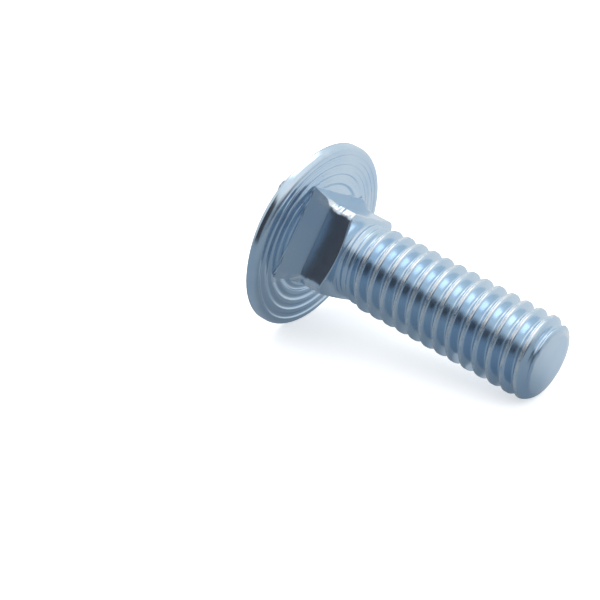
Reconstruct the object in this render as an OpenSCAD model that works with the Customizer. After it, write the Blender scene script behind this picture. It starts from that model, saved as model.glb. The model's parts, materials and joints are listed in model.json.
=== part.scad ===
// Carriage bolt, lying on the rim of its head and the tip of its thread.
// It is built upright: the seat under the head is z = 0 and the thread runs toward +z. Then it is laid down.

/* [Head] */
// Diameter of the head
head_dia = 17.7; // [16:0.1:20]
// Height of the head, from the seat under it to the top of the dome
head_height = 4.0; // [3.6:0.1:4.6]
// Radius of the rounded edge between the seat and the rim
rim_round = 0.5; // [0.3:0.05:0.7]
// Height of the straight band round the rim
rim_band = 0.45; // [0.2:0.05:0.8]

/* [Seat grooves] */
// Number of shallow grooves turned round the seat
groove_count = 4; // [1:1:4]
// Distance of the outermost groove from the edge of the head
groove_margin = 1.0; // [0.8:0.05:1.2]
// Distance between neighbouring grooves
groove_spacing = 0.93; // [0.8:0.01:1]
// Width of a groove at the seat
groove_width = 0.56; // [0.3:0.02:0.7]
// Depth of a groove
groove_depth = 0.13; // [0.05:0.01:0.2]

/* [Strength marks] */
// Number of raised radial dashes on the dome
mark_count = 3; // [3:1:6]
// Width of a dash
mark_width = 0.8; // [0.5:0.1:1.2]
// How far a dash stands above the dome
mark_height = 0.18; // [0.1:0.02:0.3]
// Distance from the axis to the inner end of a dash
mark_inner = 3.6; // [3:0.1:4.5]
// Length of a dash along the dome
mark_length = 3.6; // [2:0.1:4]
// Turn of the dashes against the flats of the neck, in degrees
mark_turn = 60; // [0:5:115]

/* [Square neck] */
// Width across the flats of the neck
neck_width = 7.8; // [7.4:0.1:8.2]
// Depth of the neck, from the seat to the shoulder at its corners
neck_depth = 4.3; // [3.9:0.1:4.8]
// Width across the clipped corners of the neck
neck_corner_dia = 10.3; // [9.8:0.1:10.4]
// Height of the concave flare between the flats and the head
flare_height = 2.0; // [1.2:0.1:2.6]
// How far the flare stands out of the flats at the seat
flare_reach = 0.55; // [0.3:0.05:0.9]
// Angle of the crease where the flare leaves the flats, in degrees
flare_crease = 6; // [0:1:8]
// How much farther the domed shoulder reaches at the middle of a flat than at a corner
shoulder_bulge = 0.35; // [0.2:0.05:0.5]

/* [Thread] */
// Largest diameter of the thread
thread_dia = 7.78; // [7.4:0.02:7.94]
// Threads to the inch
threads_per_inch = 18; // [16:1:20]
// Height of a thread, from root to crest
thread_height = 0.82; // [0.6:0.02:0.86]
// Width of the flat on a crest
crest_flat = 0.17; // [0.1:0.01:0.25]
// Diameter of the shank before the thread, about the thread's pitch diameter
shank_dia = 7.0; // [6.8:0.05:7.2]
// Length under the head, from the seat to the end face
length = 25.1; // [18:0.1:50]
// Distance from the seat to where the first trace of thread shows
runout_start = 5.4; // [5.3:0.1:7]
// Length over which the thread grows to its full height
runout_length = 1.7; // [1:0.1:3]
// Turn of the thread against the flats of the neck, in degrees
thread_turn = 185; // [0:1:359]

/* [Tip] */
// Diameter of the flat end face
tip_face_dia = 5.7; // [4.6:0.1:6]
// Length of the rounded chamfer at the tip
tip_length = 1.5; // [0.8:0.1:2]

/* [Rest] */
// Turn of the whole bolt about its own axis as it lies, in degrees
rest_spin = 154; // [0:1:359]

/* [Hidden] */
inch = 25.4;
head_r = head_dia / 2;
dome_base = rim_round + rim_band;
dome_rise = head_height - dome_base;
dome_r = (head_r * head_r + dome_rise * dome_rise) / (2 * dome_rise);
dome_centre = dome_r - head_height;
groove_r = (groove_width * groove_width / 4 + groove_depth * groove_depth) / (2 * groove_depth);
mark_radius = mark_width / 2;
mark_start = asin(mark_inner / dome_r);
mark_sweep = mark_length / dome_r * 180 / PI;
neck_half = neck_width / 2;
neck_corner_r = neck_corner_dia / 2;
neck_root = 0.4;
flare_radius = (flare_height * flare_height + flare_reach * flare_reach)
    / (2 * (flare_reach * cos(flare_crease) - flare_height * sin(flare_crease)));
shoulder_drop = (neck_corner_r * neck_corner_r - neck_half * neck_half - shoulder_bulge * shoulder_bulge)
    / (2 * shoulder_bulge);
shoulder_r = norm([neck_corner_r, shoulder_drop]);
shoulder_centre = neck_depth - shoulder_drop;
collar_r = neck_half - 0.1;
collar_start = shoulder_centre + sqrt(shoulder_r * shoulder_r - collar_r * collar_r);
collar_round = 0.6;
neck_top = collar_start + collar_round;
corner_spare = 0.2;
flare_corner_r = (neck_half + flare_reach) * sqrt(2) + corner_spare;
bar_overlap = 0.5;
shank_root_r = 3.3;
pitch = inch / threads_per_inch;
crest_r = thread_dia / 2;
root_r = crest_r - thread_height;
shank_r = shank_dia / 2;
tip_r = tip_face_dia / 2;
columns = 36;
thread_overlap = 1;
thread_base = neck_depth - thread_overlap;
sliver = 0.03;
spare_turns = 3;
flank_share = 0.13;
root_share = 0.025;

// One turn of the thread's outline: share of the pitch, then the share of the thread's height above the root
crest_half = crest_flat / pitch / 2;
flank_end = crest_half + (1 - flank_share) * thread_height * tan(30) / pitch;
root_side = (flank_end + 0.5) / 2;
thread_outline = [
    [crest_half, 1],
    [flank_end, flank_share],
    [root_side, root_share],
    [1 - root_side, root_share],
    [1 - flank_end, flank_share],
    [1 - crest_half, 1]
];
rows_a_turn = len(thread_outline);
rows = rows_a_turn * (ceil((length - thread_base) / pitch) + spare_turns);

// Place along the axis of a row of the helix at a column round it
function row_z(i, j) = thread_base + pitch * (floor(j / rows_a_turn) - 2 + i / columns
    + thread_outline[j % rows_a_turn][0]);

// Share of the thread's full height at a place along the axis
function grown(z) = max(0, min(1, (z - runout_start) / runout_length));

// Radius that the rounded chamfer of the tip leaves
function tip_limit(z) =
    let (t = max(0, (z - length + tip_length) / tip_length))
    tip_r + (crest_r - tip_r) * sqrt(max(0, 1 - t * t));

function row_r(z, j) =
    let (full = root_r + thread_height * thread_outline[j % rows_a_turn][1])
    min(shank_r + (full - shank_r) * grown(z), tip_limit(z));

// Number of the point at a column and row: rows past either end share the points of that end's ring
function base_point(i) = columns * rows + i % columns;
function tip_point(i) = columns * (rows + 1) + i % columns;
function point_at(i, j) =
    row_z(i, j) < thread_base + sliver ? base_point(i)
    : row_z(i, j) > length - sliver ? tip_point(i)
    : i == columns ? point_at(0, j + rows_a_turn)
    : i * rows + j;

function whole(f) = f[0] != f[1] && f[1] != f[2] && f[2] != f[0];

function ring(r, z) = [for (i = [0:columns - 1]) [r * cos(360 * i / columns), r * sin(360 * i / columns), z]];

// Tilt at which the rim and a point of the tip, at a radius and a place along the axis, are level
function tilt_on(r, z) =
    let (a = head_r - rim_round - r, b = z + rim_round)
    acos(-rim_round / norm([a, b])) - atan2(b, a);

// Crests on the side that faces down, the last one first
crest_turn = (720 - rest_spin - thread_turn) % 360 / 360;
last_crest = floor((length - sliver - thread_base) / pitch - crest_turn);
low_crests = [for (k = [0:2]) thread_base + pitch * (last_crest - k + crest_turn)];
rest_tilt = min([for (z = low_crests) tilt_on(min(crest_r, tip_limit(z)), z)]);
rest_lift = (head_r - rim_round) * cos(rest_tilt) - rim_round * sin(rest_tilt) + rim_round;
rest_front = length * cos(rest_tilt) + tip_r * sin(rest_tilt);
rest_back = dome_centre * cos(rest_tilt) - dome_r;
rest_middle = (rest_front + rest_back) / 2;

// Shank and rolled thread: one helical sheet of rows, closed by a flat face at each end
module threaded_shank() {
    sheet = [
        for (i = [0:columns - 1], j = [0:rows - 1])
            let (z = row_z(i, j), r = row_r(z, j), a = 360 * i / columns)
            [r * cos(a), r * sin(a), z]
    ];
    skin = [
        for (i = [0:columns - 1], j = [0:rows - 2])
            let (a = point_at(i, j), b = point_at(i + 1, j), c = point_at(i + 1, j + 1), d = point_at(i, j + 1))
            for (f = [[a, d, b], [b, d, c]]) if (whole(f)) f
    ];
    base_face = [for (i = [0:columns - 1]) base_point(i)];
    tip_face = [for (i = [columns - 1:-1:0]) tip_point(i)];
    rotate([0, 0, thread_turn])
        polyhedron(
            points = concat(sheet, ring(shank_r, thread_base), ring(tip_r, length)),
            faces = concat(skin, [base_face, tip_face]),
            convexity = 10
        );
}

// Half section of the head without its grooves
module head_section() {
    translate([0, -rim_round])
        square([head_r - rim_round, rim_round]);
    translate([head_r - rim_round, -rim_round])
        circle(r = rim_round, $fn = 48);
    translate([0, -dome_base])
        square([head_r, rim_band]);
    intersection() {
        translate([0, dome_centre])
            circle(r = dome_r, $fn = 360);
        translate([0, -head_height])
            square([head_r, dome_rise]);
    }
}

// Domed head with the turned grooves of its seat
module head() {
    difference() {
        rotate_extrude($fn = 128)
            head_section();
        for (k = [0:groove_count - 1])
            rotate_extrude($fn = 128)
                translate([head_r - groove_margin - k * groove_spacing, groove_r - groove_depth])
                    circle(r = groove_r, $fn = 48);
    }
}

// One raised dash that follows the dome away from the axis
module strength_mark() {
    translate([0, 0, dome_centre])
        rotate([90, 0, 0])
            rotate_extrude(angle = mark_sweep, start = 270 + mark_start, $fn = 256)
                translate([dome_r + mark_height - mark_radius, 0])
                    circle(r = mark_radius, $fn = 32);
}

// Side view of the neck: straight flats that flare into the head with a concave radius
module neck_side() {
    translate([-neck_half, -neck_root])
        square([neck_width, neck_root + neck_top + bar_overlap]);
    for (side = [0, 1])
        mirror([side, 0])
            difference() {
                translate([neck_half - bar_overlap, -neck_root])
                    square([flare_reach + bar_overlap, neck_root + flare_height]);
                translate([
                    neck_half + flare_radius * cos(flare_crease),
                    flare_height + flare_radius * sin(flare_crease)
                ])
                    circle(r = flare_radius, $fn = 180);
            }
}

module neck_bar() {
    rotate([90, 0, 0])
        linear_extrude(height = neck_width + 2 * flare_reach, center = true)
            neck_side();
}

// Turned outline that clips the corners, domes the shoulder and leads down to the shank
module neck_outline() {
    intersection() {
        translate([0, shoulder_centre])
            circle(r = shoulder_r, $fn = 720);
        polygon([
            [0, -neck_root],
            [flare_corner_r, -neck_root],
            [flare_corner_r, 0],
            [neck_corner_r, flare_height],
            [neck_corner_r, neck_top],
            [0, neck_top]
        ]);
    }
    difference() {
        translate([0, neck_depth])
            square([collar_r, neck_top - neck_depth]);
        translate([shank_root_r + collar_round, neck_top])
            circle(r = collar_round, $fn = 72);
    }
}

// Square neck: two crossed bars mitre the flare at the corners
module neck() {
    intersection() {
        neck_bar();
        rotate([0, 0, 90])
            neck_bar();
        rotate_extrude($fn = 96)
            neck_outline();
    }
}

module upright_bolt() {
    head();
    for (k = [0:mark_count - 1])
        rotate([0, 0, mark_turn + 360 * k / mark_count])
            strength_mark();
    neck();
    threaded_shank();
}

// Laid down: the axis points along +X and dips until the rim and the last crest both touch z = 0
module bolt() {
    color("lightsteelblue")
        translate([-rest_middle, 0, rest_lift])
            rotate([0, 90 + rest_tilt, 0])
                rotate([0, 0, rest_spin])
                    upright_bolt();
}

bolt();
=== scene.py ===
import json
import math

import bmesh
import bpy
import numpy as np
from bpy.props import FloatProperty, FloatVectorProperty, IntProperty, PointerProperty
from mathutils import Matrix, Vector, noise


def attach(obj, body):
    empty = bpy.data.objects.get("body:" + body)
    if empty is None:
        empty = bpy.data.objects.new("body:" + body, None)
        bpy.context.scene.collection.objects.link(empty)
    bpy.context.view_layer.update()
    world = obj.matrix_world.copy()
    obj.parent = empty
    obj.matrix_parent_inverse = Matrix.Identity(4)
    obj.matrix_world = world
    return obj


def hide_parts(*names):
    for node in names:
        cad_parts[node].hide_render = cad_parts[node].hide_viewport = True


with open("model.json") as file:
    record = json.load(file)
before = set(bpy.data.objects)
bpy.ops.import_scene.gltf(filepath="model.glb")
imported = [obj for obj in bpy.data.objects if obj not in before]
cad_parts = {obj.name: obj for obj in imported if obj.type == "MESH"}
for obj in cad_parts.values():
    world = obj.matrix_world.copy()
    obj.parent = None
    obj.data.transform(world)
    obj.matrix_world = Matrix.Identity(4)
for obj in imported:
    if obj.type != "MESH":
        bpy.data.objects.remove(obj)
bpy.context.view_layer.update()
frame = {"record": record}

bl_info = {
    "name": "Carriage Bolt",
    "version": (1, 0, 0),
    "blender": (4, 5, 0),
    "location": "3D View > Sidebar > Bolt",
    "description": "Builds a zinc-plated carriage bolt with a rolled thread, and a pale studio round it",
    "category": "Add Mesh",
}

MM = 0.001
MOUNTS = {m["name"]: m for m in frame["record"]["mounts"]}

# Raised dashes on the dome, and grooves in the seat.
DASHES = 3
GROOVES = 4

# Columns of faces gather at the neck's edges: the share of an eighth's columns up to each stop, how far
# the gathered band reaches before and past the edge, and how near the edge and the band's end may come
# to the diagonal.
EDGE_SHARES = (0.0, 0.6, 0.9, 1.0)
BAND_BEFORE = math.radians(3.0)
BAND_PAST = math.radians(1.5)
EDGE_LIMIT = math.radians(44.5)
BAND_LIMIT = math.radians(44.8)

# Rows of points over each part of the blank. The dome's are given outside, over and inside the dashes.
COLLAR_ROWS = 12
SHOULDER_ROWS = 14
FLAT_ROWS = 15
FLARE_ROWS = 17
SEAT_ROWS = 115
RIM_ROWS = 10
DOME_ROWS = (8, 35, 9)
END_ROWS = 12

# Rows over which the shoulder turns from round to square, and the first of them that the flats cut.
SQUARE_ROWS = 14
FIRST_CUT_ROW = 3

# Columns also gather at the dashes: half the angle and half the columns of a gathered band.
DASH_BAND = math.radians(6.5)
DASH_COLUMNS = 8.5

# Nicks along the neck's corners: how close they stand round the neck, and in a millimetre along it.
NICKS_ROUND = 4.0
NICKS_ALONG = 2.6

# Rounding where two of the neck's surfaces meet.
CORNER_EDGE = 0.10 * MM
SHOULDER_EDGE = 0.08 * MM

# How far the plate is rubbed off: along the neck's edges, at their foot on the head, round the rim and on
# the dashes.
EDGE_WEAR = 0.7
FOOT_WEAR = 0.07
RIM_WEAR = 0.2
DASH_WEAR = 0.6

# Width of the rubbed line at the shoulder, and the turns from a flat's middle between which it grows
# along the neck.
WORN_BAND = 0.12 * MM
WORN_FROM, WORN_TO = math.radians(39), math.radians(41)

# How far the thread's rows of faces gather at the crests and roots.
ROW_GATHER = 0.62

# The seam: how finely its depth wanders, and how much of the depth wanders and how much stays.
SEAM_SCALE = 900.0
SEAM_WANDER, SEAM_STEADY = 1.2, 0.4

# Half width of the rubbed line on a crest, and the length over which the run-out's ridges fade in.
CREST_WORN = 0.18 * MM
RIDGE_FADE = 0.25 * MM

# Points nearer than this are made one, where the thread meets the shank and the end face.
WELD = 0.002 * MM

# The floor's size in metres, and the point that parts its front, painted dim in the plate's reflections, from
# its pale back.
FLOOR_SIZE = 6.0
FLOOR_MIDDLE = (8 * MM, -2 * MM, 0.0)

CARD_PLACE = Vector((-25.0, -27.4, 24.0)) * MM
CARD_AIM = Vector((-5.0, -3.0, 9.0)) * MM
CARD_SIZE = (21 * MM, 28 * MM)
LAMP_AIM = Vector((0.0, 0.0, 0.008))
CAMERA_AIM = Vector((-5.860, -8.489, 6.694)) * MM

BLACK = (0.0, 0.0, 0.0)


def length(name, description, value, high=100.0):
    """A length property given in millimetres."""
    return FloatProperty(name=name, description=description, default=value * MM, min=0.0, max=high * MM,
                         precision=5, subtype="DISTANCE", unit="LENGTH")


def angle(name, description, degrees):
    """An angle property given in degrees."""
    return FloatProperty(name=name, description=description, default=math.radians(degrees),
                         subtype="ANGLE", unit="ROTATION")


def share(name, description, value):
    """A property between 0 and 1."""
    return FloatProperty(name=name, description=description, default=value, min=0.0, max=1.0, subtype="FACTOR")


def colour(name, description, value):
    """A colour property."""
    return FloatVectorProperty(name=name, description=description, default=value, size=3, min=0.0, max=1.0,
                               subtype="COLOR")


class BoltSizes(bpy.types.PropertyGroup):
    """Sizes of the bolt, upright: the seat under the head is z = 0 and the thread runs toward +z"""

    head_dia: length("Head diameter", "Diameter of the head", 17.69)
    head_height: length("Head height", "From the seat to the top of the dome", 4.0)
    rim_round: length("Rim rounding", "Radius between the seat and the rim", 0.5)
    rim_band: length("Rim band", "Height of the straight band round the rim", 0.45)
    groove_first: length("First groove", "Radius of the outermost groove of the seat", 7.85)
    groove_spacing: length("Groove spacing", "Distance between neighbouring grooves", 0.93)
    groove_width: length("Groove width", "Width of a groove at the seat", 0.56)
    groove_depth: length("Groove depth", "Depth of a groove", 0.13)
    mark_inner: length("Dash start", "Distance from the axis to the inner end of a dash", 3.6)
    mark_length: length("Dash length", "Length of a raised dash", 3.6)
    mark_width: length("Dash width", "Width of a raised dash", 0.8)
    mark_height: length("Dash height", "How far a dash stands above the dome", 0.18)
    mark_turn: angle("Dash turn", "Turn of the dashes against the flats", 60)
    neck_width: length("Neck width", "Width across the flats", 7.8)
    neck_depth: length("Neck depth", "From the seat to the shoulder at the corners", 4.3)
    neck_corner: length("Neck corner", "Distance from the axis to a clipped corner", 5.15)
    nick_depth: length("Nick depth", "Depth of the nicks along the neck's corners", 0.11)
    flare_height: length("Flare height", "Height of the flare between flats and head", 2.0)
    flare_reach: length("Flare reach", "How far the flare stands out at the seat", 0.55)
    flare_crease: angle("Flare crease", "Angle where the flare leaves a flat", 6)
    corner_reach: length("Corner reach", "How far a clipped corner stands out more at the seat", 1.34)
    shoulder_bulge: length("Shoulder bulge", "How much farther the shoulder reaches at a flat's middle", 0.35)
    collar_round: length("Collar rounding", "Concave radius between shoulder and shank", 0.6)
    collar_centre: length("Collar centre", "Distance of that radius' centre from the axis", 3.9)
    collar_top: length("Collar top", "Distance of that radius' centre from the seat", 5.273)
    shank_start: length("Shank start", "Distance from the seat to the plain shank", 4.826)
    shank_dia: length("Shank diameter", "Diameter before the thread", 7.0)
    thread_base: length("Thread base", "Place on the axis from which the helix is counted", 3.3)
    thread_turn: angle("Thread turn", "Turn of the thread against the flats", 185)
    thread_dia: length("Thread diameter", "Diameter over the crests", 7.74)
    thread_height: length("Thread height", "From root to crest", 0.82)
    pitch: length("Pitch", "Distance between neighbouring crests", 25.4 / 18)
    crest_flat: length("Crest width", "Width of the flat on a crest", 0.28)
    crest_round: length("Crest rounding", "Rounding between crest and flank", 0.09)
    root_round: length("Root rounding", "Rounding between flank and root", 0.16)
    flank_angle: angle("Flank angle", "Angle of a flank against a plane across the axis", 30)
    seam_width: length("Seam width", "Half width of the rolled seam on a crest", 0.09)
    seam_depth: length("Seam depth", "Depth of the rolled seam", 0.12)
    runout_start: length("Run-out start", "Where the first trace of thread shows", 5.4)
    runout_length: length("Run-out length", "Length over which the thread grows", 1.7)
    ridge_height: length("Ridge height", "Height of the fine ridges of the run-out", 0.09)
    total: length("Length", "From the seat to the end face", 25.1)
    tip_dia: length("End face", "Diameter of the flat end face", 5.65)
    tip_length: length("Tip length", "Length of the rounded chamfer", 1.5)
    tip_round: length("Tip rounding", "Rounding between thread and chamfer", 0.12)
    tip_edge: length("Tip edge", "Rounding at the edge of the end face", 0.12)
    columns: IntProperty(name="Columns", description="Faces round the bolt", default=160, min=40, max=240)
    rows_a_turn: IntProperty(name="Rows a turn", description="Rows of faces across one pitch", default=24,
                             min=8)


class ZincFinish(bpy.types.PropertyGroup):
    """Colour and surface of the zinc plate"""

    plate: colour("Plate", "Colour of the plate", (0.61, 0.725, 0.83))
    plate_deep: colour("Deep plate", "Colour where the passivation is thicker", (0.53, 0.665, 0.81))
    worn: colour("Worn plate", "Colour of rubbed edges and crests", (0.86, 0.87, 0.88))
    roughness: share("Roughness", "Roughness of the plain plate", 0.19)
    worn_roughness: share("Worn roughness", "Roughness added where the plate is rubbed", 0.12)
    grain: share("Grain", "Strength of the plate's fine grain", 0.10)
    waves: share("Waves", "Strength of the plate's slight unevenness", 0.35)


class Studio(bpy.types.PropertyGroup):
    """Floor, room, lamp and camera"""

    floor: colour("Floor", "Colour of the floor", (0.97, 0.97, 0.97))
    # Painted shade and light: the plate mirrors the floor dim in front and pale beyond, and the glow is light
    # the floor gives off though it is no lamp.
    mirrored_floor_shade: colour("Front floor", "Floor before the bolt, as the plate mirrors it", (0.32, 0.38, 0.44))
    floor_back: colour("Back floor", "Floor beyond the bolt, as the plate mirrors it", (0.80, 0.83, 0.85))
    floor_glow: share("Floor glow", "Share of the floor's light that no shadow dims", 0.56)
    room_front: colour("Room's front", "Light of the room behind the camera", (0.24, 0.29, 0.34))
    room_back: colour("Room's back", "Light of the room beyond the bolt", (0.80, 0.86, 0.88))
    room_top: colour("Ceiling", "Light of the ceiling", (0.98, 1.0, 1.0))
    room_box: colour("Softboxes", "Light of the two large soft lights overhead", (1.0, 1.0, 1.0))
    # The dark strip's colour is also the card's faint glow, a painted shade that only the plate mirrors.
    room_dark: colour("Dark strip", "Tall unlit strip in the room's front, and the card", (0.052, 0.052, 0.060))
    room_side: colour("Dark side", "Unlit part of the room's right side", (0.09, 0.105, 0.14))
    lamp_power: FloatProperty(name="Lamp power", description="Power of the lamp", default=0.40, min=0.0,
                              unit="POWER")
    lamp_width: length("Lamp width", "Width of the lamp", 260.0, high=2000.0)
    lamp_length: length("Lamp length", "Length of the lamp", 360.0, high=2000.0)
    lamp_distance: length("Lamp distance", "From the bolt to the lamp", 450.0, high=2000.0)
    azimuth: angle("Azimuth", "Camera's turn round the bolt, 0 looks along +Y", 38.61)
    elevation: angle("Elevation", "Camera's height above the horizon", 24.35)
    distance: length("Distance", "From the camera to the point it aims at", 172.0, high=2000.0)
    lens: FloatProperty(name="Lens", description="Focal length", default=120.0, min=10.0,
                        subtype="DISTANCE_CAMERA")


def toward(azimuth, elevation):
    """Unit vector from the bolt: azimuth 0 is -Y, 90 is +X, in degrees."""
    a, e = math.radians(azimuth), math.radians(elevation)
    return Vector((math.sin(a) * math.cos(e), -math.cos(a) * math.cos(e), math.sin(e)))


def placement(total):
    """Matrix from the upright bolt to where it lies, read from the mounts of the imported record."""
    axis = Vector(MOUNTS["thread"]["axis"])
    across = Vector(MOUNTS["neck_flat_upper"]["axis"])
    turned = Matrix((across, axis.cross(across), axis)).transposed().to_4x4()
    seat = Vector(MOUNTS["thread"]["pos_m"]) - axis * total
    return Matrix.Translation(seat) @ turned


def smooth(t):
    """Eased step from 0 to 1."""
    t = np.clip(t, 0.0, 1.0)
    return t * t * (3 - 2 * t)


def soft_min(a, b, k):
    """The smaller of two values, rounded over a distance k."""
    h = np.clip(0.5 + 0.5 * (b - a) / k, 0.0, 1.0)
    return b * (1 - h) + a * h - k * h * (1 - h)


def even_angles(s):
    """Angles of evenly spread columns."""
    return np.arange(s.columns) * 2 * math.pi / s.columns


def flat_angles(s, half, corner):
    """Angles of the columns round the square neck, gathered at the edges between flats and clipped corners."""
    diagonal = math.pi / 4
    edge = math.acos(min(1.0, half / corner)) if corner * math.cos(diagonal) > half else diagonal
    edge = min(edge, EDGE_LIMIT)
    each = s.columns // 8
    stops = [0.0, edge - BAND_BEFORE, min(edge + BAND_PAST, BAND_LIMIT), diagonal]
    side = np.interp(np.arange(each + 1), np.array(EDGE_SHARES) * each, stops)
    half_side = np.concatenate([side, (math.pi / 2 - side[::-1])[1:-1]])
    return np.concatenate([half_side + k * math.pi / 2 for k in range(4)])


def mark_angles(s):
    """Angles of the columns round the dome, gathered at the dashes."""
    each, around = s.columns / DASHES, 2 * math.pi / DASHES
    stops = [0.0, DASH_BAND, around - DASH_BAND, around]
    shares = [0.0, DASH_COLUMNS, each - DASH_COLUMNS, each]
    i = np.arange(s.columns) - s.mark_turn / (2 * math.pi) * s.columns
    turn = np.floor(i / each + 1e-9)
    return s.mark_turn + turn * around + np.interp(i - turn * each, shares, stops)


def from_flat(angles):
    """How far each column is turned from the middle of its flat."""
    return np.abs((angles + math.pi / 4) % (math.pi / 2) - math.pi / 4)


def neck_radius(s, angles, z):
    """Distance of the neck's skin from the axis: flats, flare and clipped corners."""
    lean, rise = math.cos(s.flare_crease), math.sin(s.flare_crease)
    flare_r = (s.flare_height ** 2 + s.flare_reach ** 2) / (2 * (s.flare_reach * lean - s.flare_height * rise))
    down = min(max(s.flare_height - z, 0.0), s.flare_height)
    half = s.neck_width / 2 + flare_r * lean - math.sqrt(flare_r ** 2 - (down + flare_r * rise) ** 2)
    corner = s.neck_corner + s.corner_reach * down / s.flare_height
    nicks = [noise.noise(Vector((math.cos(a) * NICKS_ROUND, math.sin(a) * NICKS_ROUND, z / MM * NICKS_ALONG)))
             for a in angles]
    corner = corner + np.array(nicks) * s.nick_depth
    return soft_min(half / np.cos(from_flat(angles)), corner, CORNER_EDGE)


def seat_height(s, r):
    """Height of the grooved seat at a distance from the axis."""
    arc = (s.groove_width ** 2 / 4 + s.groove_depth ** 2) / (2 * s.groove_depth)
    z = np.zeros_like(r)
    for k in range(GROOVES):
        off = np.abs(r - (s.groove_first - k * s.groove_spacing))
        z = np.minimum(z, arc - s.groove_depth - np.sqrt(np.maximum(arc ** 2 - off ** 2, 0.0)))
    return z


def dash_lift(s, r, angles):
    """How far the raised dashes lift the dome."""
    lift = np.zeros_like(angles)
    start, end, wide = s.mark_inner, s.mark_inner + s.mark_length, s.mark_width / 2
    for k in range(DASHES):
        d = (angles - s.mark_turn - 2 * math.pi * k / DASHES + math.pi) % (2 * math.pi) - math.pi
        along, side = r * np.cos(d), r * np.sin(d)
        beyond = np.maximum(0.0, np.maximum(start + wide - along, along - (end - wide)))
        near = np.hypot(beyond, side) / wide
        lift = np.maximum(lift, s.mark_height * np.sqrt(np.clip(1 - near ** 4, 0, 1)) * (np.cos(d) > 0))
    return lift


def ring(angles, r, z, wear=0.0):
    """One row of points round the axis, with how far each is rubbed."""
    r = np.broadcast_to(r, angles.shape)
    return angles, r, np.broadcast_to(z, r.shape), np.broadcast_to(wear, r.shape)


def shoulder_profile(s):
    """Radius and height of each row from the plain shank, round the collar and out over the shoulder."""
    leave = math.acos((s.collar_centre - s.shank_dia / 2) / s.collar_round)
    collar = [(s.collar_centre - s.collar_round * math.cos(a), s.collar_top - s.collar_round * math.sin(a))
              for a in np.linspace(leave, math.radians(80), COLLAR_ROWS)]
    drop = (s.neck_corner ** 2 - s.neck_width ** 2 / 4 - s.shoulder_bulge ** 2) / (2 * s.shoulder_bulge)
    ball_r, ball_centre = math.hypot(s.neck_corner, drop), s.neck_depth - drop
    return collar + [(r, ball_centre + math.sqrt(ball_r ** 2 - r ** 2))
                     for r in np.linspace(collar[-1][0] + 0.05 * MM, s.neck_corner + 0.25 * MM, SHOULDER_ROWS)]


def neck_rings(s):
    """Rows over the shoulder, where round turns to square, and down the flats and the flare to the seat."""
    profile = shoulder_profile(s)
    even, square = even_angles(s), flat_angles(s, s.neck_width / 2, s.neck_corner)
    rings = []
    for k, (limit, z) in enumerate(profile):
        mix = smooth(k / SQUARE_ROWS)
        angles = even * (1 - mix) + square * mix
        skin = neck_radius(s, angles, z)
        r = soft_min(skin, limit, SHOULDER_EDGE) if k >= FIRST_CUT_ROW else limit
        rings.append(ring(angles, r, z, EDGE_WEAR * np.exp(-((skin - limit) / WORN_BAND) ** 2)))
    crease = 0.02 * MM
    flats = np.linspace(profile[-1][1] - 2 * crease, s.flare_height + crease, FLAT_ROWS)
    flare = np.linspace(s.flare_height - crease, 0.0, FLARE_ROWS)
    for z in np.concatenate([flats, flare]):
        half = s.neck_width / 2 + s.flare_reach * smooth(1 - z / s.flare_height) * (z < s.flare_height)
        angles = flat_angles(s, half, s.neck_corner + s.corner_reach * max(0, 1 - z / s.flare_height))
        rub = min(EDGE_WEAR, FOOT_WEAR + EDGE_WEAR * max(z, 0.0) / s.flare_height)
        at_edge = smooth((from_flat(angles) - WORN_FROM) / (WORN_TO - WORN_FROM))
        rings.append(ring(angles, neck_radius(s, angles, z), z, rub * at_edge))
    angles, r, _, wear = rings[-1]
    rings[-1] = ring(angles, r, seat_height(s, r), wear)
    return rings


def seat_rings(s, foot_angles, foot_r):
    """Rows over the grooved seat, from the foot of the neck to the rim."""
    even = even_angles(s)
    edge_r = s.head_dia / 2 - s.rim_round
    closed_angles = np.append(foot_angles, foot_angles[0] + 2 * math.pi)
    closed_r = np.append(foot_r, foot_r[0])
    rings = []
    for t in np.linspace(0, 1, SEAT_ROWS + 1)[1:]:
        mix = smooth(t)
        angles = foot_angles * (1 - mix) + even * mix
        here = np.interp(angles, closed_angles, closed_r)
        r = here + (edge_r - here) * t
        rings.append(ring(angles, r, seat_height(s, r)))
    return rings


def head_rings(s):
    """Rows round the rim and over the dome to its top."""
    head_r = s.head_dia / 2
    edge_r = head_r - s.rim_round
    even, gathered = even_angles(s), mark_angles(s)
    rings = []
    for t in np.linspace(0, 1, RIM_ROWS + 1)[1:]:
        a = t * math.pi / 2
        rings.append(ring(even * (1 - t) + gathered * t, edge_r + s.rim_round * math.sin(a),
                          -s.rim_round + s.rim_round * math.cos(a), RIM_WEAR * math.sin(2 * a)))
    for t in (0.5, 1.0):
        rings.append(ring(gathered, head_r, -s.rim_round - s.rim_band * t))
    rise = s.head_height - s.rim_round - s.rim_band
    dome_r = (head_r ** 2 + rise ** 2) / (2 * rise)
    centre = dome_r - s.head_height
    margin = 0.25 * MM
    stops = (head_r, s.mark_inner + s.mark_length + margin, s.mark_inner - margin, 0.15 * MM)
    for r in np.concatenate([np.linspace(start, end, count + 1)[1:]
                             for start, end, count in zip(stops, stops[1:], DOME_ROWS)]):
        slope = math.asin(r / dome_r)
        lift = dash_lift(s, r, gathered)
        rings.append(ring(gathered, r + lift * math.sin(slope), centre - (dome_r + lift) * math.cos(slope),
                          DASH_WEAR * lift / s.mark_height))
    return rings


def forged_rings(s):
    """Rows from the plain shank, over neck, seat, rim and dome, to the top of the dome."""
    neck = neck_rings(s)
    return neck + seat_rings(s, *neck[-1][:2]) + head_rings(s)


def end_face_rings(s):
    """Rows from the edge of the end face to near its middle."""
    edge = s.tip_dia / 2 - s.tip_edge
    return [ring(even_angles(s), edge * (1 - t), s.total) for t in np.linspace(0, 0.97, END_ROWS)]


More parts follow.
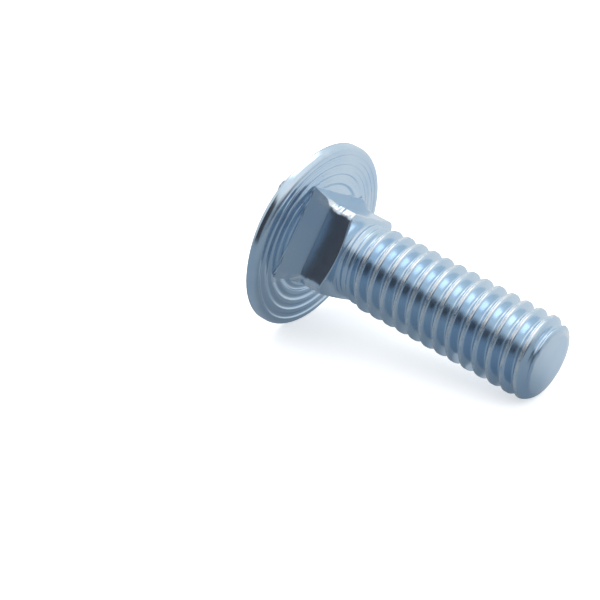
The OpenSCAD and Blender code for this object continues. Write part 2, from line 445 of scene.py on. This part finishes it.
def blank_mesh(s):
    """One mesh of the forged rows and the end face, each closed in a fan at the axis."""
    n = s.columns
    points, faces, wear = [], [], []

    def lay(rings, flip, top):
        base = len(points)
        for angles, r, z, worn in rings:
            points.extend(np.stack([r * np.cos(angles), r * np.sin(angles), z], -1).tolist())
            wear.extend(worn.tolist())
        for j in range(len(rings) - 1):
            for i in range(n):
                k = (i + 1) % n
                quad = [base + j * n + i, base + (j + 1) * n + i, base + (j + 1) * n + k, base + j * n + k]
                faces.append(quad[::-1] if flip else quad)
        points.append((0.0, 0.0, top))
        wear.append(0.0)
        hub, last = len(points) - 1, base + (len(rings) - 1) * n
        for i in range(n):
            tri = [last + i, hub, last + (i + 1) % n]
            faces.append(tri[::-1] if flip else tri)

    lay(forged_rings(s), False, -s.head_height)
    lay(end_face_rings(s), True, s.total)
    mesh = bpy.data.meshes.new("blank")
    mesh.from_pydata(points, [], faces)
    mesh.attributes.new("wear", "FLOAT", "POINT").data.foreach_set("value", wear)
    mesh.update()
    return mesh


class Field:
    """A value in a node tree. Arithmetic on it adds Math nodes."""

    def __init__(self, tree, socket):
        self.tree = tree
        self.socket = socket

    def math(self, operation, *others):
        node = self.tree.nodes.new("ShaderNodeMath")
        node.operation = operation
        for k, value in enumerate((self,) + others):
            if isinstance(value, Field):
                self.tree.links.new(value.socket, node.inputs[k])
            else:
                node.inputs[k].default_value = value
        return Field(self.tree, node.outputs[0])

    def __add__(self, other):
        return self.math("ADD", other)

    def __sub__(self, other):
        return self.math("SUBTRACT", other)

    def __mul__(self, other):
        return self.math("MULTIPLY", other)

    def __truediv__(self, other):
        return self.math("DIVIDE", other)

    def __neg__(self):
        return self.math("MULTIPLY", -1.0)

    def mapped(self, low, high, to_low=0.0, to_high=1.0, kind="LINEAR"):
        """The value, mapped from one range to another and kept inside it."""
        node = self.tree.nodes.new("ShaderNodeMapRange")
        node.interpolation_type = kind
        for label, value in (("From Min", low), ("From Max", high), ("To Min", to_low), ("To Max", to_high)):
            node.inputs[label].default_value = value
        self.tree.links.new(self.socket, node.inputs["Value"])
        return Field(self.tree, node.outputs["Result"])

    def eased(self, low=0.0, high=1.0):
        """Eased step from 0 to 1, as the value goes from low to high."""
        return self.mapped(low, high, kind="SMOOTHSTEP")


THREAD_INPUTS = {
    "Shank Diameter": "shank_dia", "Start": "shank_start", "Helix Base": "thread_base",
    "Thread Turn": "thread_turn", "Pitch": "pitch", "Crest Diameter": "thread_dia",
    "Thread Height": "thread_height", "Crest Width": "crest_flat", "Crest Rounding": "crest_round",
    "Root Rounding": "root_round", "Flank Angle": "flank_angle", "Seam Width": "seam_width",
    "Seam Depth": "seam_depth", "Run-out Start": "runout_start", "Run-out Length": "runout_length",
    "Ridge Height": "ridge_height", "Length": "total", "End Face Diameter": "tip_dia",
    "Tip Length": "tip_length", "Tip Rounding": "tip_round", "Tip Edge": "tip_edge",
}


def thread_tree(material):
    """Node tree that rolls the helical thread and joins it to the forged blank that comes in."""
    tree = bpy.data.node_groups.new("Rolled thread", "GeometryNodeTree")
    face = tree.interface
    face.new_socket(name="Blank", in_out="INPUT", socket_type="NodeSocketGeometry")
    for label in THREAD_INPUTS:
        face.new_socket(name=label, in_out="INPUT", socket_type="NodeSocketFloat")
    for label in ("Columns", "Rows a Turn", "Turns"):
        face.new_socket(name=label, in_out="INPUT", socket_type="NodeSocketInt")
    face.new_socket(name="Bolt", in_out="OUTPUT", socket_type="NodeSocketGeometry")
    nodes, links = tree.nodes, tree.links
    given = nodes.new("NodeGroupInput")
    result = nodes.new("NodeGroupOutput")

    def size(label):
        return Field(tree, given.outputs[label])

    def maths(operation, *values):
        return values[0].math(operation, *values[1:])

    def point(radius, around, z):
        node = nodes.new("ShaderNodeCombineXYZ")
        for k, value in enumerate((maths("COSINE", around) * radius, maths("SINE", around) * radius, z)):
            links.new(value.socket, node.inputs[k])
        return node.outputs[0]

    # A flat grid: its columns go round the bolt and its rows follow the helix.
    grid = nodes.new("GeometryNodeMeshGrid")
    columns, rows_a_turn = size("Columns"), size("Rows a Turn")
    rows = rows_a_turn * size("Turns")
    links.new((columns + 1).socket, grid.inputs["Vertices X"])
    links.new((rows + 1).socket, grid.inputs["Vertices Y"])
    place = nodes.new("GeometryNodeInputPosition")
    parts = nodes.new("ShaderNodeSeparateXYZ")
    links.new(place.outputs[0], parts.inputs[0])
    column = maths("ROUND", (Field(tree, parts.outputs[0]) + 0.5) * columns)
    row = maths("ROUND", (Field(tree, parts.outputs[1]) + 0.5) * rows)

    # Each row's turn and its phase in the turn, and from them its height. A small guard keeps a whole
    # turn from being rounded down.
    guard = 0.0001
    done = row / rows_a_turn + guard
    turn = maths("FLOOR", done)
    part = maths("MAXIMUM", maths("FRACT", done) - guard, 0.0)
    phase = part - maths("SINE", part * (4 * math.pi)) * (ROW_GATHER / (4 * math.pi))
    ahead = column / columns - size("Thread Turn") / (2 * math.pi) - 2.0
    z_free = size("Helix Base") + size("Pitch") * (turn + phase + ahead)
    z = maths("MINIMUM", maths("MAXIMUM", z_free, size("Start")), size("Length"))

    # Crest, flank and root, with the seam that rolling leaves on the crest.
    crest = size("Crest Diameter") / 2.0
    root = crest - size("Thread Height")
    shank = size("Shank Diameter") / 2.0
    away = maths("MINIMUM", phase, -(phase - 1.0)) * size("Pitch")
    flank = crest - (away - size("Crest Width") / 2.0) / maths("TANGENT", size("Flank Angle"))
    outline = maths("SMOOTH_MIN", crest, flank, size("Crest Rounding"))
    outline = maths("SMOOTH_MAX", outline, root, size("Root Rounding"))
    around = column / columns * (2 * math.pi)
    wander = nodes.new("ShaderNodeTexNoise")
    wander.inputs["Scale"].default_value = SEAM_SCALE
    wander.inputs["Detail"].default_value = 1.0
    links.new(point(crest, around, z), wander.inputs["Vector"])
    drift = Field(tree, wander.outputs[0])
    near = maths("MAXIMUM", -maths("POWER", away / size("Seam Width"), 2.0) + 1.0, 0.0)
    outline = outline - near * size("Seam Depth") * (drift * SEAM_WANDER + SEAM_STEADY)

    # The run-out, where the thread grows out of fine ridges on the shank.
    grown = ((z - size("Run-out Start")) / size("Run-out Length")).eased()
    window = (z - size("Start")).eased(0.0, RIDGE_FADE) * maths("SQRT", -grown + 1.0)
    ridges = -maths("COSINE", (turn + phase) * (4 * math.pi)) * size("Ridge Height") * window
    radius = shank + ridges + (outline - shank) * grown

    # The rounded chamfer of the tip and the edge of the end face.
    tip = size("End Face Diameter") / 2.0
    over = maths("MAXIMUM", (z - size("Length") + size("Tip Length")) / size("Tip Length"), 0.0)
    round_off = maths("SQRT", maths("MAXIMUM", -(over * over) + 1.0, 0.0))
    radius = maths("SMOOTH_MIN", radius, tip + (crest - tip) * round_off, size("Tip Rounding"))
    last = maths("MAXIMUM", (z - size("Length")) / size("Tip Edge") + 1.0, 0.0)
    radius = radius - size("Tip Edge") * (-maths("SQRT", maths("MAXIMUM", -(last * last) + 1.0, 0.0)) + 1.0)

    keep = nodes.new("GeometryNodeStoreNamedAttribute")
    keep.data_type = "FLOAT"
    keep.domain = "POINT"
    keep.inputs["Name"].default_value = "wear"
    rubbed = (-(away / CREST_WORN) + 1.2).eased() * grown
    links.new(rubbed.socket, keep.inputs["Value"])
    move = nodes.new("GeometryNodeSetPosition")
    links.new(point(radius, around, z), move.inputs["Position"])
    join = nodes.new("GeometryNodeJoinGeometry")
    links.new(given.outputs["Blank"], join.inputs[0])
    weld = nodes.new("GeometryNodeMergeByDistance")
    weld.inputs["Distance"].default_value = WELD
    soft = nodes.new("GeometryNodeSetShadeSmooth")
    real = nodes.new("GeometryNodeRealizeInstances")
    dress = nodes.new("GeometryNodeSetMaterial")
    dress.inputs["Material"].default_value = material
    flow = grid.outputs["Mesh"]
    for node in (keep, move, join, weld, soft, real, dress):
        links.new(flow, node.inputs[0])
        flow = node.outputs[0]
    links.new(flow, result.inputs["Bolt"])
    return tree


def roll_thread(blank, s, material):
    """Plain mesh of the blank with its thread, from the node tree."""
    turns = math.ceil((s.total - s.thread_base) / s.pitch) + 4
    tree = thread_tree(material)
    modifier = blank.modifiers.new("Rolled thread", "NODES")
    modifier.node_group = tree
    values = {label: getattr(s, key) for label, key in THREAD_INPUTS.items()}
    values.update({"Columns": s.columns, "Rows a Turn": s.rows_a_turn, "Turns": turns})
    for item in tree.interface.items_tree:
        if item.in_out == "INPUT" and item.name in values:
            modifier[item.identifier] = values[item.name]
    bpy.context.view_layer.update()
    made = blank.evaluated_get(bpy.context.evaluated_depsgraph_get())
    return bpy.data.meshes.new_from_object(made)


def blend(tree, factor, first, second):
    """Socket of the colour between two, each of which is a colour or a socket."""
    node = tree.nodes.new("ShaderNodeMix")
    node.data_type = "RGBA"
    tree.links.new(factor, node.inputs[0])
    for socket, value in ((node.inputs[6], first), (node.inputs[7], second)):
        if isinstance(value, bpy.types.NodeSocket):
            tree.links.new(value, socket)
        else:
            socket.default_value = (*value, 1.0)
    return node.outputs[2]


def zinc_material(finish):
    """Bright blue-white zinc plate: slightly uneven, with fine grain and rubbed edges."""
    mat = bpy.data.materials.new("zinc_plate")
    mat.use_nodes = True
    tree = mat.node_tree
    nodes, links = tree.nodes, tree.links
    shader = nodes["Principled BSDF"]
    shader.inputs["Metallic"].default_value = 1.0
    spot = nodes.new("ShaderNodeTexCoord")

    def mottle(scale, detail=2.0, rough=0.5):
        node = nodes.new("ShaderNodeTexNoise")
        for label, value in (("Scale", scale), ("Detail", detail), ("Roughness", rough)):
            node.inputs[label].default_value = value
        links.new(spot.outputs["Object"], node.inputs["Vector"])
        return Field(tree, node.outputs["Fac"])

    def bump(height, strength, distance, below=None):
        node = nodes.new("ShaderNodeBump")
        node.inputs["Strength"].default_value = strength
        node.inputs["Distance"].default_value = distance
        links.new(height.socket, node.inputs["Height"])
        if below:
            links.new(below, node.inputs["Normal"])
        return node.outputs["Normal"]

    worn = nodes.new("ShaderNodeAttribute")
    worn.attribute_name = "wear"
    rub = Field(tree, worn.outputs["Fac"]) * mottle(scale=1500.0).mapped(0.3, 0.6)
    cloud = mottle(scale=220.0, detail=3.0).mapped(0.35, 0.68)
    plate = blend(tree, cloud.socket, finish.plate, finish.plate_deep)
    links.new(blend(tree, rub.socket, plate, finish.worn), shader.inputs["Base Color"])
    least, most = finish.roughness * 0.75, finish.roughness * 1.35
    rough = mottle(scale=700.0, detail=4.0, rough=0.6).mapped(0.0, 1.0, least, most)
    links.new((rub * finish.worn_roughness + rough).socket, shader.inputs["Roughness"])
    grain = bump(mottle(scale=2600.0, detail=3.0, rough=0.6), finish.grain, 0.02 * MM)
    links.new(bump(mottle(scale=420.0), finish.waves, 0.03 * MM, grain), shader.inputs["Normal"])
    return mat


def check_closed(mesh):
    """Stops if the piece has an open or doubled edge, or is inside out."""
    form = bmesh.new()
    form.from_mesh(mesh)
    loose = [e for e in form.edges if len(e.link_faces) != 2]
    volume = form.calc_volume(signed=True)
    form.free()
    if loose:
        raise RuntimeError(f"the bolt has {len(loose)} edges that don't join two faces")
    if volume <= 0:
        raise RuntimeError("the bolt's faces point inwards")


def add_object(name, data):
    """A new object of the scene."""
    made = bpy.data.objects.new(name, data)
    bpy.context.scene.collection.objects.link(made)
    return made


class BOLT_OT_make_bolt(bpy.types.Operator):
    """Make the bolt: forged head and neck, with the thread rolled on by nodes"""

    bl_idname = "bolt.make_bolt"
    bl_label = "Make bolt"

    def execute(self, context):
        s = context.scene.bolt_sizes
        blank = add_object("blank", blank_mesh(s))
        mesh = roll_thread(blank, s, zinc_material(context.scene.bolt_finish))
        bpy.data.objects.remove(blank)
        mesh.name = "carriage_bolt"
        mesh.transform(placement(s.total))
        check_closed(mesh)
        bolt = add_object("carriage_bolt", mesh)
        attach(bolt, "root")
        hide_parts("bolt")
        return {"FINISHED"}


def matt_material(name, tint, roughness, glow=BLACK):
    """A surface of one colour, without gloss, that may glow."""
    mat = bpy.data.materials.new(name)
    mat.use_nodes = True
    shader = mat.node_tree.nodes["Principled BSDF"]
    shader.inputs["Base Color"].default_value = (*tint, 1.0)
    shader.inputs["Roughness"].default_value = roughness
    shader.inputs["Specular IOR Level"].default_value = 0.0
    shader.inputs["Emission Color"].default_value = (*glow, 1.0)
    shader.inputs["Emission Strength"].default_value = 1.0
    return mat


def field_of_light(tree, direction, centre, outer, inner):
    """Factor that grows from 0 to 1 as a direction nears a centre, between two angles in degrees."""
    dot = tree.nodes.new("ShaderNodeVectorMath")
    dot.operation = "DOT_PRODUCT"
    dot.inputs[1].default_value = centre
    tree.links.new(direction, dot.inputs[0])
    near = Field(tree, dot.outputs["Value"])
    return near.eased(math.cos(math.radians(outer)), math.cos(math.radians(inner))).socket


def floor_material(studio):
    """Matt pale floor with painted shade and light in the plate's reflections: the plate mirrors it dim in
    front of the bolt and pale beyond it, and part of its light is a painted glow that no shadow dims.
    """
    mat = matt_material("floor_paint", studio.floor, 0.95)
    tree = mat.node_tree
    nodes, links = tree.nodes, tree.links
    shader = nodes["Principled BSDF"]
    spot = nodes.new("ShaderNodeTexCoord")
    shift = nodes.new("ShaderNodeVectorMath")
    shift.operation = "SUBTRACT"
    shift.inputs[1].default_value = FLOOR_MIDDLE
    links.new(spot.outputs["Object"], shift.inputs[0])
    away = nodes.new("ShaderNodeVectorMath")
    away.operation = "NORMALIZE"
    links.new(shift.outputs[0], away.inputs[0])
    fade = field_of_light(tree, away.outputs[0], toward(-175.0, 0.0), 90.0, 25.842)
    path = nodes.new("ShaderNodeLightPath")
    mirrored = path.outputs["Is Glossy Ray"]
    seen = Field(tree, path.outputs["Is Camera Ray"]) + Field(tree, path.outputs["Is Transmission Ray"])
    front, back, glow = Vector(studio.mirrored_floor_shade), Vector(studio.floor_back), studio.floor_glow
    # Painted shade and light for reflections: glossy rays see the floor dim in front, pale beyond, and partly
    # glowing so that no shadow dims it.
    matt = blend(tree, fade, front * (1 - glow), back * (1 - glow))
    links.new(blend(tree, mirrored, studio.floor, matt), shader.inputs["Base Color"])
    own = blend(tree, mirrored, BLACK, blend(tree, fade, front * glow, back * glow))
    lit = blend(tree, seen.math("MINIMUM", 1.0).socket, own, (glow, glow, glow))
    links.new(lit, shader.inputs["Emission Color"])
    return mat


def room_light(studio):
    """World of soft-edged fields: a dim front, a pale back, an unlit strip and side, and a bright ceiling."""
    world = bpy.data.worlds.new("room")
    world.use_nodes = True
    tree = world.node_tree
    spot = tree.nodes.new("ShaderNodeTexCoord")
    light = studio.room_front
    # Each field: azimuth and elevation of its middle, the angles at which it ends and is full, and its colour.
    for azimuth, elevation, outer, inner, tint in (
            (-178.0, 0.0, 128.316, 98.627, studio.room_back),
            (-30.0, 23.0, 15.0, 6.0, studio.room_dark),
            (-20.0, 42.0, 20.0, 9.0, studio.room_dark),
            (72.0, 6.0, 36.0, 16.0, studio.room_side),
            (0.0, 90.0, 57.995, 32.860, studio.room_top),
            (94.0, 52.0, 43.0, 16.0, studio.room_box),
            (-118.0, 56.0, 40.0, 12.0, studio.room_box)):
        field = field_of_light(tree, spot.outputs["Generated"], toward(azimuth, elevation), outer, inner)
        light = blend(tree, field, light, tint)
    tree.links.new(light, tree.nodes["Background"].inputs["Color"])
    return world


def add_plane(name, width, height, material):
    """A rectangle at the origin, its size in its mesh."""
    bpy.ops.mesh.primitive_plane_add(size=1.0)
    made = bpy.context.object
    made.name = name
    made.data.transform(Matrix.Diagonal((width, height, 1.0, 1.0)))
    made.data.materials.append(material)
    return made


def aim(made, place, target, front):
    """Puts an object at a place, with one of its axes toward a target."""
    made.location = place
    made.rotation_euler = (target - place).to_track_quat(front, "Y").to_euler()


class BOLT_OT_set_stage(bpy.types.Operator):
    """Set the floor, the room's light, the dark card, the lamp and the camera"""

    bl_idname = "bolt.set_stage"
    bl_label = "Set stage"

    def execute(self, context):
        studio = context.scene.bolt_studio
        scene = context.scene
        floor = add_plane("floor", FLOOR_SIZE, FLOOR_SIZE, floor_material(studio))
        scene.world = room_light(studio)

        # Painted shade: the card is a dark sheet, glowing faintly at the dark strip's colour, that only the
        # plate mirrors, standing in for the unlit room.
        paint = matt_material("painted_dark_reflection", BLACK, 1.0, studio.room_dark)
        card = add_plane("dark_card", *CARD_SIZE, paint)
        aim(card, CARD_PLACE, CARD_AIM, "Z")
        card.visible_camera = card.visible_shadow = card.visible_diffuse = False

        data = bpy.data.lights.new("top_lamp", "AREA")
        data.shape = "RECTANGLE"
        data.size, data.size_y = studio.lamp_width, studio.lamp_length
        data.energy = studio.lamp_power
        aim(add_object("top_lamp", data), toward(-118.0, 56.0) * studio.lamp_distance, LAMP_AIM, "-Z")

        camera = add_object("camera", bpy.data.cameras.new("camera"))
        camera.data.lens = studio.lens
        camera.data.sensor_width = 36.0
        camera.data.dof.use_dof = False
        camera.data.clip_start = 0.005
        camera.data.clip_end = 20.0
        back = toward(math.degrees(studio.azimuth), math.degrees(studio.elevation))
        aim(camera, CAMERA_AIM + back * studio.distance, CAMERA_AIM, "-Z")
        scene.camera = camera
        scene.view_settings.view_transform = "Standard"
        return {"FINISHED"}


class BOLT_PT_panel(bpy.types.Panel):
    """Buttons, sizes and colours of the bolt and its stage"""

    bl_idname = "BOLT_PT_panel"
    bl_label = "Carriage Bolt"
    bl_space_type = "VIEW_3D"
    bl_region_type = "UI"
    bl_category = "Bolt"

    def draw(self, context):
        column = self.layout.column()
        for operator in (BOLT_OT_make_bolt, BOLT_OT_set_stage):
            column.operator(operator.bl_idname)
        for group in (context.scene.bolt_sizes, context.scene.bolt_finish, context.scene.bolt_studio):
            box = column.box()
            for key in group.__annotations__:
                box.prop(group, key)


CLASSES = (BoltSizes, ZincFinish, Studio, BOLT_OT_make_bolt, BOLT_OT_set_stage, BOLT_PT_panel)


def register():
    for kind in CLASSES:
        bpy.utils.register_class(kind)
    bpy.types.Scene.bolt_sizes = PointerProperty(type=BoltSizes)
    bpy.types.Scene.bolt_finish = PointerProperty(type=ZincFinish)
    bpy.types.Scene.bolt_studio = PointerProperty(type=Studio)


def unregister():
    del bpy.types.Scene.bolt_sizes
    del bpy.types.Scene.bolt_finish
    del bpy.types.Scene.bolt_studio
    for kind in reversed(CLASSES):
        bpy.utils.unregister_class(kind)


def main():
    """Makes the bolt and its stage."""
    register()
    bpy.ops.bolt.make_bolt()
    bpy.ops.bolt.set_stage()


if __name__ == "__main__":
    main()
